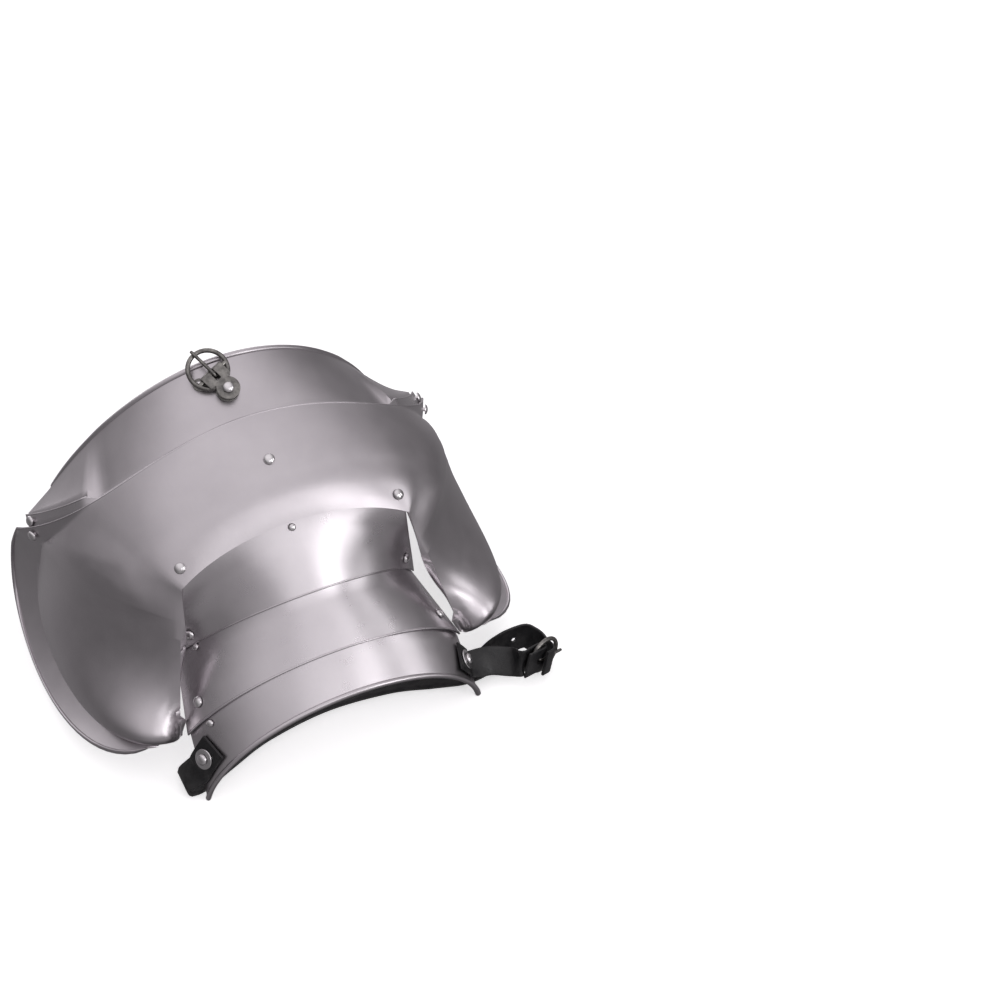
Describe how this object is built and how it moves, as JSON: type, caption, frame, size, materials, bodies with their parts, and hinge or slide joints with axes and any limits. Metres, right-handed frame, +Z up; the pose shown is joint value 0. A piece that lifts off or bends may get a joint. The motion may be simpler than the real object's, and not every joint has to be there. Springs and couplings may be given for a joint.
{
  "type": "pauldron",
  "caption": "Steel shoulder armour: a domed plate with two wings, sliding arm lames, a raised neck plate with a small buckle, and a black leather arm strap.",
  "frame": {"origin": "on the surface it rests on, under the middle of its box", "axes": "+X from the front wing to the back wing, -Y out along the arm, +Y towards the neck, +Z up"},
  "size_m": [0.3204, 0.2402, 0.217],
  "materials": {
    "plate_steel": "satin polished",
    "lame_steel": "satin polished",
    "rivet_steel": "polished",
    "dark_steel": "antique dark",
    "black_leather": "smooth, slightly worn"
  },
  "bodies": {
    "shoulder": {"shoulder_plate": "plate_steel", "rivet_centre": "rivet_steel", "rivet_plate_to_lame_1_front": "rivet_steel", "rivet_plate_to_lame_1_back": "rivet_steel", "rivet_plate_to_neck_lame_front": "rivet_steel", "rivet_plate_to_neck_lame_back": "rivet_steel"},
    "lame_1": {"arm_lame_1": "lame_steel", "rivet_crown": "rivet_steel", "rivet_lame_1_to_2_front": "rivet_steel", "rivet_lame_1_to_2_back": "rivet_steel"},
    "lame_2": {"arm_lame_2": "lame_steel", "rivet_side_upper": "rivet_steel", "rivet_lame_2_to_3_front": "rivet_steel", "rivet_lame_2_to_3_back": "rivet_steel"},
    "lame_3": {"arm_lame_3": "lame_steel", "rivet_side_lower": "rivet_steel", "rivet_strap_front": "rivet_steel", "rivet_strap_back": "rivet_steel", "washer_front": "rivet_steel", "washer_back": "rivet_steel", "arm_strap": "black_leather", "buckle_strap": "black_leather", "arm_ring": "dark_steel", "arm_prong": "dark_steel"},
    "neck_lame": {"neck_lame": "lame_steel", "rivet_neck_lame_to_plate_front": "rivet_steel", "rivet_neck_lame_to_plate_back": "rivet_steel"},
    "neck": {"neck_plate": "plate_steel", "neck_buckle_plate": "dark_steel", "neck_ring": "dark_steel", "rivet_neck_buckle": "rivet_steel", "rivet_neck": "rivet_steel", "washer_neck": "dark_steel"},
    "neck_prong": {"neck_prong": "dark_steel"}
  },
  "joints": [
    {"name": "lame_1_hinge", "type": "hinge", "parent": "shoulder", "child": "lame_1", "pos_m": [0, -0.04266, 0.13545], "axis": [-1, 0, 0], "range_deg": [-1.5, 4]},
    {"name": "lame_2_hinge", "type": "hinge", "parent": "lame_1", "child": "lame_2", "pos_m": [0, -0.04485, 0.08074], "axis": [-1, 0, 0], "range_deg": [-1.5, 3.5]},
    {"name": "lame_3_hinge", "type": "hinge", "parent": "lame_2", "child": "lame_3", "pos_m": [0, -0.07619, 0.05235], "axis": [-1, 0, 0], "range_deg": [-2, 4]},
    {"name": "neck_lame_hinge", "type": "hinge", "parent": "shoulder", "child": "neck_lame", "pos_m": [0, 0.06035, 0.10642], "axis": [1, 0, 0], "range_deg": [-1, 5]},
    {"name": "neck_plate_hinge", "type": "hinge", "parent": "neck_lame", "child": "neck", "pos_m": [0, 0.06717, 0.11222], "axis": [1, 0, 0], "range_deg": [0, 5]},
    {"name": "neck_prong_hinge", "type": "hinge", "parent": "neck", "child": "neck_prong", "pos_m": [-0.01215, 0.04271, 0.20371], "axis": [0.8992, 0.3139, 0.3048], "range_deg": [0, 100]}
  ]
}
